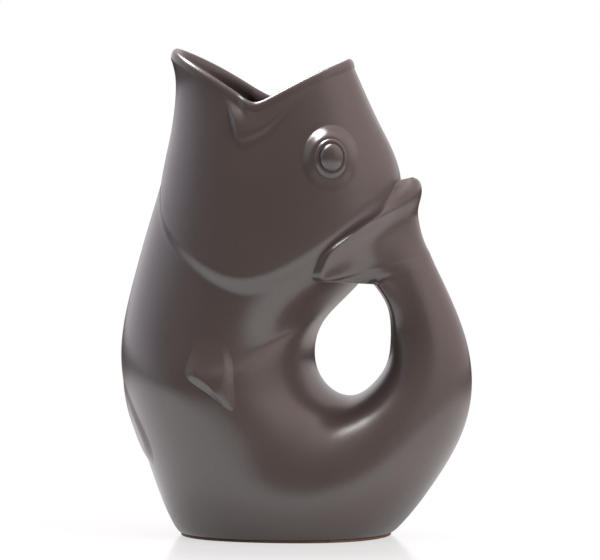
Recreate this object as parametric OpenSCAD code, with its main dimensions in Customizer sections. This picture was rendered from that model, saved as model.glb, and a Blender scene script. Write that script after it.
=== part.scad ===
/* [Jug] */
// Height from the table to the tip of the lower jaw
jug_height = 254; // [220:1:300]
// Length from the belly to the outside of the tail
jug_length = 184; // [160:1:215]
// Depth of the belly from side to side
jug_depth = 120; // [105:1:140]
// Thickness of the clay walls
wall = 5; // [4:0.5:6]
// Thickness of the floor above the foot
floor_thickness = 7; // [5:0.5:10]

/* [Head] */
// How far the gill covers stand proud of the neck
gill_step = 3; // [1.5:0.5:4]
// How far the fold at the corner of the mouth stands proud of the cheek
lip_roll = 2.7; // [1:0.1:3.5]

/* [Neck and tail] */
// Radius to which the neck is rounded at the hole
neck_round = 48; // [40:1:55]
// Radius of the tail's inner edges below the fin
tail_round = 5.5; // [4:0.5:8]

/* [Eyes] */
// Radius of the soft mound round the eye
mound_radius = 17.5; // [14:0.5:19]
// Height of the mound above the cheek
mound_height = 5.1; // [3.5:0.1:6]
// Radius of the flat step on top of the mound
ring_radius = 8.6; // [8:0.1:9.5]
// Radius of the pupil
pupil_radius = 6.2; // [5:0.1:6.8]
// Height of the pupil above its seat
pupil_height = 4.4; // [2.5:0.1:5]
// Depth of the recess that the pupil sits in
pupil_recess = 1; // [0.5:0.1:1.5]

/* [Fins] */
// Height of the side fins at their lower edge
pectoral_height = 2.4; // [1.5:0.1:4]
// Height of the belly fins at their middle
pelvic_height = 1.5; // [1:0.1:3]
// Height of the tail fin's rolled edge above the neck
fin_edge = 3.9; // [2.5:0.1:5]

/* [Foot] */
// Height of the unglazed foot ring
foot_height = 1; // [1:0.5:4]
// Width of the unglazed foot ring
foot_ring_width = 7; // [5:0.5:10]
// How far the foot ring stands back from the belly's edge
foot_inset = 1; // [0.5:0.25:2]

/* [Joints] */
// Thickness of the slip in the joints between applied pieces
joint_gap = 0.3; // [0.2:0.05:0.4]

/* [Hidden] */

glaze = [0.33, 0.29, 0.28];
bare_clay = [0.45, 0.33, 0.25];

// Outline of the fish in stations from the mouth down through the belly and up the tail.
// Each row gives shares of length and height for the belly line, then for the back line,
// the share of half the depth, the chord share of the side line, the share of the height
// that the side line dips, the softness of that dip, the fullness of the section, how much
// it draws in behind its middle, and how far its back follows the rounding of neck or tail.
station_shares = [
    [-0.326, 0.978, 0.193, 0.958, 0.483, 0.505, 0.093, 0.07, 0.10, 0.00, 0.0],
    [-0.310, 0.929, 0.209, 0.931, 0.533, 0.500, 0.087, 0.16, 0.10, 0.00, 0.0],
    [-0.321, 0.839, 0.261, 0.846, 0.667, 0.490, 0.094, 0.35, 0.10, 0.00, 0.0],
    [-0.340, 0.776, 0.317, 0.764, 0.767, 0.470, 0.134, 0.60, 0.08, 0.00, 0.0],
    [-0.351, 0.730, 0.324, 0.661, 0.833, 0.440, 0.173, 0.80, 0.05, 0.02, 0.5],
    [-0.391, 0.634, 0.277, 0.583, 0.875, 0.440, 0.165, 0.90, 0.02, 0.06, 1.0],
    [-0.427, 0.539, 0.193, 0.506, 0.925, 0.450, 0.134, 1.00, 0.00, 0.08, 1.0],
    [-0.459, 0.441, 0.114, 0.449, 0.967, 0.460, 0.094, 1.00, 0.00, 0.05, 1.0],
    [-0.467, 0.350, 0.082, 0.398, 0.992, 0.480, 0.055, 1.00, 0.00, 0.00, 1.0],
    [-0.443, 0.260, 0.082, 0.348, 1.000, 0.500, 0.024, 1.00, 0.00, 0.00, 0.7],
    [-0.397, 0.169, 0.109, 0.311, 0.992, 0.500, 0.000, 1.00, 0.00, 0.00, 0.3],
    [-0.348, 0.071, 0.147, 0.291, 0.975, 0.490, 0.000, 1.00, 0.02, 0.00, 0.0],
    [-0.261, -0.035, 0.182, 0.287, 0.958, 0.480, 0.000, 1.00, 0.04, 0.00, 0.0],
    [-0.065, -0.094, 0.207, 0.291, 0.942, 0.480, 0.000, 1.00, 0.05, 0.00, 0.0],
    [0.141, -0.075, 0.231, 0.301, 0.900, 0.480, 0.000, 1.00, 0.05, 0.00, 0.0],
    [0.304, 0.004, 0.255, 0.317, 0.808, 0.480, 0.000, 1.00, 0.03, 0.00, 0.0],
    [0.421, 0.110, 0.281, 0.341, 0.692, 0.490, 0.000, 1.00, 0.00, 0.00, 0.0],
    [0.503, 0.213, 0.297, 0.370, 0.575, 0.500, 0.000, 1.00, 0.00, 0.00, 0.0],
    [0.530, 0.315, 0.302, 0.406, 0.475, 0.500, 0.000, 1.00, 0.00, 0.00, 0.2],
    [0.511, 0.409, 0.302, 0.445, 0.400, 0.500, 0.000, 1.00, 0.00, 0.03, 0.7],
    [0.467, 0.492, 0.290, 0.484, 0.350, 0.500, 0.000, 1.00, 0.00, -0.10, 1.0],
    [0.418, 0.567, 0.253, 0.522, 0.325, 0.500, 0.000, 1.00, 0.00, -0.25, 1.0]
];
last_station = len(station_shares) - 1;
// Stations where the cast pieces meet, and where the tail's hollow ends
tail_seam_share = 17;
fin_seam_share = 20;
hollow_end_share = 19.6;
// Stations between which the belly rests on the foot ring
foot_search_shares = [11, 13, 14, 16];

half_depth = jug_depth / 2;
stations = [
    for (r = station_shares) [
        r[0] * jug_length, r[1] * jug_height, r[2] * jug_length, r[3] * jug_height,
        r[4] * half_depth, r[5], r[6] * jug_height, r[7], r[8], r[9], r[10]
    ]
];

// Smooth curve through evenly spaced rows of values
function controls(p) =
    let (
        n = len(p) - 1,
        c = [
            for (i = [0:n])
                i == 0 || i == n ? p[i] : p[i] - (p[i - 1] - 2 * p[i] + p[i + 1]) / 6
        ]
    )
    concat([2 * c[0] - c[1]], c, [2 * c[n] - c[n - 1]]);

function curve(c, s) =
    let (
        last = len(c) - 3,
        i = min(max(floor(s), 0), last - 1),
        f = s - i,
        g = 1 - f
    )
    (g * g * g * c[i]
        + (3 * f * f * f - 6 * f * f + 4) * c[i + 1]
        + (3 * g * g * g - 6 * g * g + 4) * c[i + 2]
        + f * f * f * c[i + 3]) / 6;

function mix(a, b, f) = a * (1 - f) + b * f;
function ramp(x) = let (f = min(max(x, 0), 1)) f * f * (3 - 2 * f);
function solve(f, low, high, steps = 24) =
    let (middle = (low + high) / 2)
    steps == 0 ? middle
        : (f(middle) > 0) == (f(low) > 0) ? solve(f, middle, high, steps - 1)
        : solve(f, low, middle, steps - 1);

station_curve = controls(stations);

// Relief of the gill cover's edge and of the lip, by station and angle from the belly line
gill_station = 4.03;
gill_lean = 0.68;
gill_chin = 0.9;
gill_chin_spread = 26;
gill_band = 0.44;
function gill_relief(s, a) =
    let (edge = gill_station + gill_lean * cos(a) - gill_chin * exp(-pow(a / gill_chin_spread, 2)))
    gill_step * sin(a) * (1 - ramp((s - edge) / gill_band + 0.5));

// The fold turns down sharply at the corner of the mouth and runs up along the upper lip
fold_angle = 79;
fold_station = 1.42;
fold_rise = 1.67;
fold_slope = 0.0225;
fold_turn = [65, 14];
fold_start = [67, 12];
fold_end = [88, 42];
fold_swell = [0.1, 0.9];
fold_front = [78, 8];
lip_band = 0.42;
function lip_relief(s, a) =
    let (
        rise = fold_rise * ramp((a - fold_turn[0]) / fold_turn[1]),
        edge = fold_station + (a < fold_angle ? rise - fold_rise : fold_slope * (fold_angle - a)),
        height = ramp((a - fold_start[0]) / fold_start[1]) * (1 - ramp((a - fold_end[0]) / fold_end[1])),
        front = ramp((s - fold_swell[0]) / fold_swell[1]),
        swell = mix(front, 1, ramp((a - fold_front[0]) / fold_front[1]))
    )
    lip_roll * height * swell * (1 - ramp((s - edge) / lip_band + 0.5));

// Distance of a point of the side view from the back line between nape and tail root
neck_stations = [3.5, 12];
neck_pieces = 24;
neck_end = 13;
neck_line = [
    for (i = [0:neck_pieces])
        let (r = curve(station_curve, mix(neck_stations[0], neck_stations[1], i / neck_pieces)))
        [r[2], r[3]]
];
function behind_distance(p) = min([
    for (i = [0:neck_pieces - 1])
        let (
            a = neck_line[i],
            u = neck_line[i + 1] - a,
            f = min(max((p - a) * u / (u * u), 0), 1)
        )
        norm(p - a - f * u)
]);

// Half width of a section as a share of its greatest one, by angle; hollow ends stay rounder
neck_angles = [65, 55];
back_angle = 14;
hollow_share = 0.4;
function section_bow(s, a, lift, p, behind, follow) =
    let (
        away = s < neck_end ? behind_distance(p) / neck_round : behind / tail_round,
        turn = min(away, 1),
        part = s >= neck_end && lift < 0 ? hollow_share : 1,
        blend = part * follow * ramp((a - neck_angles[0]) / neck_angles[1]) * ramp((180 - a) / back_angle)
    )
    mix(sin(a), sqrt(turn * (2 - turn)), blend);

waist_angles = [75, 60];
dip_spread = 1.3;
dip_lift = 0.3;
// Point on the fish's skin at station s and angle t, counted from the belly line round its
// left side; lift moves the point out of the skin, or into the wall when it is negative
function skin(s, t, lift = 0) =
    let (
        r = curve(station_curve, s),
        a = t > 180 ? 360 - t : t,
        side = t > 180 ? 1 : -1,
        chord = [r[2] - r[0], r[3] - r[1]],
        reach = norm(chord),
        along = chord / reach,
        share = 0.5 - 0.5 * cos(a) + (r[5] - 0.5) * sin(a) * sin(a),
        d = (share - r[5]) / (share < r[5] ? r[5] : 1 - r[5]),
        bend = (sqrt(d * d + r[7] * r[7]) - r[7]) / (sqrt(1 + r[7] * r[7]) - r[7]),
        dip = r[6] * (1 - dip_spread * bend + dip_lift * d * d),
        place = [r[0], r[1] - dip] + chord * share,
        bow = r[10] > 0 && a > neck_angles[0]
            ? section_bow(s, a, lift, place, (1 - share) * reach, r[10])
            : sin(a),
        girth = 1 + r[8] * cos(a) * cos(a) - r[9] * ramp((a - waist_angles[0]) / waist_angles[1]),
        normal = [-2 * cos(a) / reach, sin(a) / r[4]],
        out = normal / norm(normal) * (lift + gill_relief(s, a) + lip_relief(s, a)),
        p = share * reach + out[0],
        width = r[4] * bow * girth + out[1]
    )
    [r[0] + along[0] * p, side * width, r[1] + along[1] * p - dip];

// Station and angle of the skin point that shows at x and z in the side view
nudge = 0.01;
function locate(x, z, guess, steps = 6) =
    steps == 0 ? guess
        : let (
            s = guess[0],
            t = guess[1],
            p = skin(s, t),
            ds = (skin(s + nudge, t) - p) / nudge,
            dt = (skin(s, t + nudge) - p) / nudge,
            det = ds[0] * dt[2] - ds[2] * dt[0],
            ex = x - p[0],
            ez = z - p[2]
        )
        locate(x, z, [s + (ex * dt[2] - ez * dt[0]) / det, t + (ez * ds[0] - ex * ds[2]) / det], steps - 1);

// Solid through closed loops that each have as many points; its ends are closed across the
// plane of symmetry, or its last loop joins its first one
function skirt(a, b, n) =
    [for (j = [0:n - 1]) let (k = (j + 1) % n) each [[a + j, a + k, b + j], [a + k, b + k, b + j]]];
function lid(a, n, flip) =
    [
        for (j = [0:n / 2 - 1])
            let (
                p = a + j,
                q = a + j + 1,
                r = a + (n - j - 1) % n,
                s = a + (n - j) % n,
                pair = j == 0 ? [[p, q, r]] : j == n / 2 - 1 ? [[p, q, s]] : [[p, q, r], [p, r, s]]
            )
            each [for (f = pair) flip ? f : [f[2], f[1], f[0]]]
    ];
module loft(loops, ring = false) {
    n = len(loops[0]);
    m = len(loops);
    sides = [for (i = [0:m - 2]) each skirt(i * n, (i + 1) * n, n)];
    ends = ring ? skirt((m - 1) * n, 0, n) : concat(lid(0, n, false), lid((m - 1) * n, n, true));
    polyhedron(points = [for (l = loops) each l], faces = concat(sides, ends));
}
module mirrored() {
    mirror([0, 1, 0]) children();
}

// The outline is drawn from the middle of the foot, and the jug stands centred on its length
centre_share = 0.0312;
module placed() {
    translate([-centre_share * jug_length, 0, 0]) children();
}

// Edge along which the belly meets the foot ring, from its front to its back
outer_base = foot_height;
inner_base = foot_height + floor_thickness;
foot_front = solve(function(s) skin(s, 0)[2] - outer_base, foot_search_shares[0], foot_search_shares[1]);
foot_back = solve(function(s) skin(s, 0)[2] - outer_base, foot_search_shares[2], foot_search_shares[3]);
foot_steps = 20;
foot_stations = [
    for (i = [0:foot_steps]) mix(foot_front, foot_back, 0.5 - 0.5 * cos(180 * i / foot_steps))
];
function base_angle(s, lift, base) =
    skin(s, 0, lift)[2] >= base ? 0 : solve(function(a) skin(s, a, lift)[2] - base, 0, 90);
foot_side = [
    for (s = foot_stations) let (p = skin(s, base_angle(s, 0, outer_base))) [p[0], p[1]]
];
foot_outline = concat(
    foot_side,
    [for (i = [foot_steps - 1:-1:1]) [foot_side[i][0], -foot_side[i][1]]]
);

// Body and tail: rings round the fish, level with the floor where they would pass below it.
// A ring that reaches the floor has a point of its own where it does.
ring_points = 60;
ring_step = 360 / ring_points;
ring_angles = [for (j = [0:ring_points - 1]) ring_step * j];
function ring(s, lift, base) =
    let (edge = base_angle(s, lift, base))
    [
        for (t = ring_angles)
            let (
                a = t > 180 ? 360 - t : t,
                near = t > 0 && abs(a - edge) < ring_step / 2,
                p = skin(s, near ? (t > 180 ? 360 - edge : edge) : t, lift)
            )
            [p[0], p[1], max(p[2], base)]
    ];
// Stations of the rings, closer together at the gill covers and at both ends of the foot
head_steps = [for (s = [0:0.25:6]) s];
belly_steps = [for (s = [6.5:0.5:11]) s];
root_steps = [for (s = [15.5:0.5:tail_seam_share]) s];
outer_steps = concat(head_steps, belly_steps, [(11 + foot_front) / 2], foot_stations, root_steps);
inner_steps = 29;
hollow_steps = [for (i = [0:inner_steps]) tail_seam_share * i / inner_steps];
rim_angles = [165, 135, 105, 90, 75, 45, 15];

// Rim: rounded up from the outer skin over to the inner wall, as high as the wall is thick
function rim_loop(angle) = [
    for (p = ring(0, wall / 2 * (cos(angle) - 1), outer_base))
        [p[0], p[1], p[2] + wall * sin(angle)]
];

module body() {
    outer = [for (s = outer_steps) ring(s, 0, outer_base)];
    inner = [for (s = hollow_steps) ring(s, -wall, inner_base)];
    top = [for (angle = rim_angles) rim_loop(angle)];
    rising = [for (i = [inner_steps:-1:0]) inner[i]];
    color(glaze) placed() loft(concat(rising, top, outer), ring = true);
}

module tail_handle() {
    steps = 12;
    hollow = [
        for (i = [steps:-1:0])
            ring(mix(tail_seam_share, hollow_end_share, i / steps), -wall, inner_base)
    ];
    outside = [for (i = [0:steps]) ring(mix(tail_seam_share, fin_seam_share, i / steps), 0, outer_base)];
    color(glaze) placed() loft(concat(hollow, outside));
}

module foot_ring() {
    color(bare_clay)
        placed()
        linear_extrude(foot_height)
            difference() {
                offset(delta = -foot_inset) polygon(foot_outline);
                offset(delta = -foot_inset - foot_ring_width) polygon(foot_outline);
            }
}

// Closed curve through points, as controls for curve()
function closed_controls(p) =
    let (
        n = len(p),
        c = [for (i = [0:n - 1]) p[i] - (p[(i + n - 1) % n] - 2 * p[i] + p[(i + 1) % n]) / 6]
    )
    concat([c[n - 1]], c, [c[0], c[1]]);

// Tail fin: closed sections from the top of the tail to the tip of the upper lobe. Each row
// gives shares of length and height for the fin's front edge on the neck, then for its back
// edge, the station of the nape, and shares of half the depth near the back and in the middle.
fin_shares = [
    [0.198, 0.525, 0.414, 0.571, 5.78, 0.205, 0.345],
    [0.150, 0.528, 0.412, 0.576, 5.75, 0.207, 0.352],
    [0.106, 0.534, 0.410, 0.581, 5.72, 0.210, 0.362],
    [0.114, 0.557, 0.397, 0.598, 5.42, 0.210, 0.362],
    [0.130, 0.585, 0.386, 0.620, 5.05, 0.205, 0.345],
    [0.158, 0.606, 0.379, 0.642, 4.78, 0.195, 0.320],
    [0.196, 0.628, 0.375, 0.661, 4.50, 0.190, 0.305],
    [0.242, 0.652, 0.377, 0.677, 4.20, 0.180, 0.290],
    [0.280, 0.671, 0.383, 0.693, 3.95, 0.165, 0.260],
    [0.299, 0.691, 0.386, 0.708, 3.72, 0.145, 0.225],
    [0.311, 0.708, 0.384, 0.722, 3.50, 0.115, 0.175],
    [0.318, 0.722, 0.376, 0.732, 3.36, 0.080, 0.115],
    [0.322, 0.730, 0.362, 0.737, 3.30, 0.045, 0.060]
];
fin_guess = [3.8, 130];
fin_toe = 0.6;
fin_outer_points = 36;
fin_inner_points = 24;
fin_levels = 24;
// Places along a section: rounding and corner of its front edge, valley, middle and back
fin_round_share = 0.05;
fin_corner_share = 0.09;
fin_valley_share = 0.3;
fin_between_share = 0.45;
fin_middle_share = 0.66;
fin_back_share = 0.93;
// Heights above the neck as shares of the edge's height, and how they fade along the levels
fin_round_height_share = 0.8;
fin_valley_height_share = 0.6;
fin_root_share = 0.6;
fin_tip_share = 0.2;
fin_root_levels = 2;
fin_tip_levels = [6, 4];
fin_straight_levels = [3, 4];
// Angles on the tail that the fin's outer points come from, from its back edge to its front
fin_wrap_angles = [[0, 0], [1, 36], [2, 96], [3, 118], [4, 124], [5, 129], [6, 134]];
fin_wrap_end = 134;
fin_curve = controls([
    for (r = fin_shares) [
        r[0] * jug_length, r[1] * jug_height, r[2] * jug_length, r[3] * jug_height,
        r[4], r[5] * half_depth, r[6] * half_depth
    ]
]);

function opposite(p) = [p[0], -p[1], p[2]];
function fin_point(front, nape, f, height) =
    let (q = mix(front, nape, f))
    skin(q[0], q[1], joint_gap + fin_edge * height);
function fin_section(level) =
    let (
        r = curve(fin_curve, level),
        front = locate(r[0], r[1], fin_guess),
        nape = [r[4], 180],
        back = [r[2], 0, r[3]],
        middle = [r[0], 0, r[1]],
        fade = mix(1, fin_tip_share, ramp((level - fin_tip_levels[0]) / fin_tip_levels[1])),
        root = mix(fin_root_share, 1, ramp(level / fin_root_levels)),
        straight = max(
            1 - ramp(level / fin_straight_levels[0]),
            ramp((level - fin_straight_levels[1]) / fin_straight_levels[1])
        ),
        corner = fin_point(front, nape, fin_corner_share, fade * root),
        far = mix(middle, back, fin_middle_share) - [0, r[6], 0],
        last = mix(middle, back, fin_back_share) - [0, r[5], 0],
        valley = fin_point(front, nape, fin_valley_share, fin_valley_height_share),
        side = [
            skin(front[0], front[1], joint_gap + fin_toe),
            fin_point(front, nape, fin_round_share, fade * fin_round_height_share),
            corner,
            mix(valley, mix(corner, far, fin_between_share), straight),
            far,
            last
        ],
        turns = len(side),
        outer = controls(concat([for (p = side) opposite(p)], [back], [for (i = [turns - 1:-1:0]) side[i]])),
        over = [for (i = [0:fin_outer_points]) curve(outer, 2 * turns * i / fin_outer_points)],
        under = [
            for (i = [0:fin_inner_points])
                let (
                    f = abs(1 - 2 * i / fin_inner_points),
                    q = mix(nape, front, f),
                    p = skin(q[0], q[1], joint_gap)
                )
                i * 2 > fin_inner_points ? opposite(p) : p
        ]
    )
    concat(over, under);

// Section of the tail with its points shared out as in the fin's sections
function tail_section(s) = concat(
    [
        for (i = [0:fin_outer_points])
            let (
                f = 2 * i / fin_outer_points - 1,
                t = lookup((len(fin_wrap_angles) - 1) * abs(f), fin_wrap_angles)
            )
            skin(s, f < 0 ? 360 - t : t)
    ],
    [
        for (i = [0:fin_inner_points])
            let (f = (i + 1) / (fin_inner_points + 2))
            skin(s, mix(fin_wrap_end, 360 - fin_wrap_end, f))
    ]
);

module tail_fin() {
    tube = [for (s = [fin_seam_share:0.25:last_station]) tail_section(s)];
    last_level = len(fin_shares) - 1;
    blades = [for (i = [0:fin_levels]) fin_section(last_level * i / fin_levels)];
    color(glaze) placed() loft(concat(tube, blades));
}

// Relief that lies on the skin: a rim of stations and angles, drawn in towards its middle.
// top gives the points of the loops that close it, from the rim to the middle.
patch_shares = [0.2, 0.45, 0.7, 0.88, 1];
function under_patch(rim, middle) = [
    for (f = patch_shares) [
        for (q = rim) let (p = mix(middle, q, f)) skin(p[0], p[1], joint_gap)
    ]
];

// Eyes: a soft mound with a flat step, and a domed pupil in a recess on top
eye_share = [0.154, 0.780];
eye_guess = [2.1, 127];
eye_station = locate(eye_share[0] * jug_length, eye_share[1] * jug_height, eye_guess);
eye_middle = skin(eye_station[0], eye_station[1]);
eye_slope = [
    skin(eye_station[0] + nudge, eye_station[1]) - eye_middle,
    skin(eye_station[0], eye_station[1] + nudge) - eye_middle
];
eye_axis = let (c = cross(eye_slope[0], eye_slope[1])) c * sign(-c[1]) / norm(c);
eye_level = let (c = cross(eye_axis, [0, 0, 1])) c / norm(c);
eye_up = cross(eye_level, eye_axis);
eye_points = 36;
eye_angles = [for (i = [0:eye_points - 1]) 360 * i / eye_points];
function eye_point(radius, angle, height) =
    eye_middle + radius * (cos(angle) * eye_level + sin(angle) * eye_up) + height * eye_axis;

mound_toe = 0.4;
step_width = 0.5;
step_height = 1.2;
pupil_clearance = 0.3;
mound_foot = 0.3;
ring_top_radius = (ring_radius + pupil_radius) / 2;
seat_radius = pupil_radius + pupil_clearance;
mound_profile = [
    [ring_radius + step_width, mound_height - step_height],
    [ring_radius, mound_height - mound_foot],
    [ring_top_radius, mound_height],
    [seat_radius + mound_foot, mound_height - mound_foot],
    [seat_radius, mound_height - pupil_recess],
    [seat_radius / 2, mound_height - pupil_recess]
];
mound_slope_shares = [0, 0.15, 0.35, 0.6, 0.85];
// How much steeper the mound is above and towards the mouth, and how far that evens out
mound_tilt = [0.09, 0.03];
mound_settle = 0.6;

module eye_mound_left() {
    rim = [
        for (angle = eye_angles)
            let (p = eye_point(mound_radius, angle, 0)) locate(p[0], p[2], eye_station)
    ];
    slope = [
        for (f = mound_slope_shares) [
            for (i = [0:eye_points - 1])
                let (
                    q = mix(rim[i], eye_station, f * (1 - mound_profile[0][0] / mound_radius)),
                    low = skin(q[0], q[1], joint_gap + mound_toe),
                    radius = mix(mound_radius, mound_profile[0][0], f),
                    tilt = radius * (mound_tilt[0] * sin(eye_angles[i]) - mound_tilt[1] * cos(eye_angles[i])),
                    rise = mound_profile[0][1] + tilt * (1 - mound_settle * ramp(f)),
                    high = eye_point(radius, eye_angles[i], rise)
                )
                mix(low, high, ramp(f))
        ]
    ];
    crown = [for (r = mound_profile) [for (angle = eye_angles) eye_point(r[0], angle, r[1])]];
    color(glaze) placed() loft(concat(under_patch(rim, eye_station), slope, crown));
}
module eye_mound_right() {
    mirrored() eye_mound_left();
}

pupil_steps = 6;
module pupil_left() {
    seat = mound_height - pupil_recess + joint_gap;
    dome = [
        for (i = [0:pupil_steps])
            [pupil_radius * cos(90 * i / pupil_steps), seat + pupil_height * sin(90 * i / pupil_steps)]
    ];
    frame = [
        [eye_level[0], eye_up[0], eye_axis[0], eye_middle[0]],
        [eye_level[1], eye_up[1], eye_axis[1], eye_middle[1]],
        [eye_level[2], eye_up[2], eye_axis[2], eye_middle[2]],
        [0, 0, 0, 1]
    ];
    color(glaze)
        placed()
        multmatrix(frame)
            rotate_extrude($fn = 48)
                polygon(concat([[0, seat]], dome));
}
module pupil_right() {
    mirrored() pupil_left();
}

// Side fins: their outline in the side view, as shares of length and height
pectoral_shares = [
    [-0.168, 0.472], [-0.128, 0.453], [-0.110, 0.402], [-0.099, 0.346], [-0.089, 0.295],
    [-0.092, 0.262], [-0.139, 0.287], [-0.196, 0.315], [-0.250, 0.346], [-0.228, 0.398],
    [-0.212, 0.461]
];
pectoral_middle_share = [-0.160, 0.360];
pectoral_guess = [7.5, 88];
fin_points = 40;
fin_patch_toe = 0.4;
crown_shares = [1, 0.95, 0.85, 0.65, 0.4, 0.2];
crown_root_share = 0.25;
crown_power = 5;

function crown_patch(rim, middle, height, root, tip) = [
    for (f = crown_shares) [
        for (q = rim)
            let (
                p = mix(middle, q, f),
                place = ramp((p[0] - root) / (tip - root)),
                rise = height * mix(crown_root_share, 1, place) * (1 - pow(f, crown_power))
            )
            skin(p[0], p[1], joint_gap + fin_patch_toe + rise)
    ]
];

module pectoral_fin_left() {
    outline = closed_controls(pectoral_shares);
    share = pectoral_middle_share;
    middle = locate(share[0] * jug_length, share[1] * jug_height, pectoral_guess);
    rim = [
        for (i = [0:fin_points - 1])
            let (p = curve(outline, len(pectoral_shares) * i / fin_points))
            locate(p[0] * jug_length, p[1] * jug_height, middle)
    ];
    crown = crown_patch(rim, middle, pectoral_height, rim[0][0], middle[0]);
    color(glaze) placed() loft(concat(under_patch(rim, middle), crown));
}
module pectoral_fin_right() {
    mirrored() pectoral_fin_left();
}

// Belly fins: their outline as stations and angles from the belly line
pelvic_shares = [
    [8.0, 14], [8.25, 26], [9.0, 33], [9.8, 36], [10.25, 33], [10.4, 24], [10.15, 12],
    [9.6, 5], [8.8, 3.5], [8.2, 5]
];
pelvic_middle_share = [9.3, 20];

module pelvic_fin_left() {
    outline = closed_controls(pelvic_shares);
    rim = [for (i = [0:fin_points - 1]) curve(outline, len(pelvic_shares) * i / fin_points)];
    crown = crown_patch(rim, pelvic_middle_share, pelvic_height, pelvic_shares[0][0], pelvic_middle_share[0]);
    color(glaze) placed() loft(concat(under_patch(rim, pelvic_middle_share), crown));
}
module pelvic_fin_right() {
    mirrored() pelvic_fin_left();
}

body();
tail_handle();
tail_fin();
foot_ring();
eye_mound_left();
eye_mound_right();
pupil_left();
pupil_right();
pectoral_fin_left();
pectoral_fin_right();
pelvic_fin_left();
pelvic_fin_right();
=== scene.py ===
import math
import bpy
import numpy as np
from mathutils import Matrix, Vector


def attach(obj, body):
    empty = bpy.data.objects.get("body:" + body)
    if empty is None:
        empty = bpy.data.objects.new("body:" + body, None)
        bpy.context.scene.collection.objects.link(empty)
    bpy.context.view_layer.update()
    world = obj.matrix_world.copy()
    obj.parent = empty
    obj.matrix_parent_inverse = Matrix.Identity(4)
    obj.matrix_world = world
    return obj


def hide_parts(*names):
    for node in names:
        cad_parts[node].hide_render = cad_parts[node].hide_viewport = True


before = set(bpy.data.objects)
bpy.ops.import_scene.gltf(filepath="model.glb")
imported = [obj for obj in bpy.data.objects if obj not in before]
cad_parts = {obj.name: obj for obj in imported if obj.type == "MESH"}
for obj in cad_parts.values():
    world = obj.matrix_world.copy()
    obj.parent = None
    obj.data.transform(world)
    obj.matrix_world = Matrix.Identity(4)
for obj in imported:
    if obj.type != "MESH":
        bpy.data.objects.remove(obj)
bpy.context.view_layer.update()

# Sizes of the jug in millimetres, as the construction has them
JUG_HEIGHT, JUG_LENGTH, HALF_DEPTH = 254.0, 184.0, 60.0
WALL, FLOOR_THICKNESS, FOOT_HEIGHT = 5.0, 7.0, 1.0
GILL_STEP, LIP_ROLL = 3.0, 2.7
NECK_ROUND, TAIL_ROUND = 48.0, 5.5
METRE = 1000
# The outline is drawn from the middle of the foot, and the jug stands centred on its length
CENTRE = 0.0312 * JUG_LENGTH

# Outline of the fish in stations from the mouth down through the belly and up the tail.
# Each row gives shares of length and height for the belly line, then for the back line,
# the share of half the depth, the chord share of the side line, the share of the height
# that the side line dips, the softness of that dip, the fullness of the section, how much
# it draws in behind its middle, and how far its back follows the rounding of neck or tail.
STATION_SHARES = np.array([
    [-0.326, 0.978, 0.193, 0.958, 0.483, 0.505, 0.093, 0.07, 0.10, 0.00, 0.0],
    [-0.310, 0.929, 0.209, 0.931, 0.533, 0.500, 0.087, 0.16, 0.10, 0.00, 0.0],
    [-0.321, 0.839, 0.261, 0.846, 0.667, 0.490, 0.094, 0.35, 0.10, 0.00, 0.0],
    [-0.340, 0.776, 0.317, 0.764, 0.767, 0.470, 0.134, 0.60, 0.08, 0.00, 0.0],
    [-0.351, 0.730, 0.324, 0.661, 0.833, 0.440, 0.173, 0.80, 0.05, 0.02, 0.5],
    [-0.391, 0.634, 0.277, 0.583, 0.875, 0.440, 0.165, 0.90, 0.02, 0.06, 1.0],
    [-0.427, 0.539, 0.193, 0.506, 0.925, 0.450, 0.134, 1.00, 0.00, 0.08, 1.0],
    [-0.459, 0.441, 0.114, 0.449, 0.967, 0.460, 0.094, 1.00, 0.00, 0.05, 1.0],
    [-0.467, 0.350, 0.082, 0.398, 0.992, 0.480, 0.055, 1.00, 0.00, 0.00, 1.0],
    [-0.443, 0.260, 0.082, 0.348, 1.000, 0.500, 0.024, 1.00, 0.00, 0.00, 0.7],
    [-0.397, 0.169, 0.109, 0.311, 0.992, 0.500, 0.000, 1.00, 0.00, 0.00, 0.3],
    [-0.348, 0.071, 0.147, 0.291, 0.975, 0.490, 0.000, 1.00, 0.02, 0.00, 0.0],
    [-0.261, -0.035, 0.182, 0.287, 0.958, 0.480, 0.000, 1.00, 0.04, 0.00, 0.0],
    [-0.065, -0.094, 0.207, 0.291, 0.942, 0.480, 0.000, 1.00, 0.05, 0.00, 0.0],
    [0.141, -0.075, 0.231, 0.301, 0.900, 0.480, 0.000, 1.00, 0.05, 0.00, 0.0],
    [0.304, 0.004, 0.255, 0.317, 0.808, 0.480, 0.000, 1.00, 0.03, 0.00, 0.0],
    [0.421, 0.110, 0.281, 0.341, 0.692, 0.490, 0.000, 1.00, 0.00, 0.00, 0.0],
    [0.503, 0.213, 0.297, 0.370, 0.575, 0.500, 0.000, 1.00, 0.00, 0.00, 0.0],
    [0.530, 0.315, 0.302, 0.406, 0.475, 0.500, 0.000, 1.00, 0.00, 0.00, 0.2],
    [0.511, 0.409, 0.302, 0.445, 0.400, 0.500, 0.000, 1.00, 0.00, 0.03, 0.7],
    [0.467, 0.492, 0.290, 0.484, 0.350, 0.500, 0.000, 1.00, 0.00, -0.10, 1.0],
    [0.418, 0.567, 0.253, 0.522, 0.325, 0.500, 0.000, 1.00, 0.00, -0.25, 1.0],
])
STATION_SCALES = np.array([
    JUG_LENGTH, JUG_HEIGHT, JUG_LENGTH, JUG_HEIGHT, HALF_DEPTH, 1, JUG_HEIGHT, 1, 1, 1, 1
])
LAST_STATION = len(STATION_SHARES) - 1
# Stations where the cast pieces meet, and where the tail's hollow ends
TAIL_SEAM, FIN_SEAM, HOLLOW_END = 17.0, 20.0, 19.6


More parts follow.
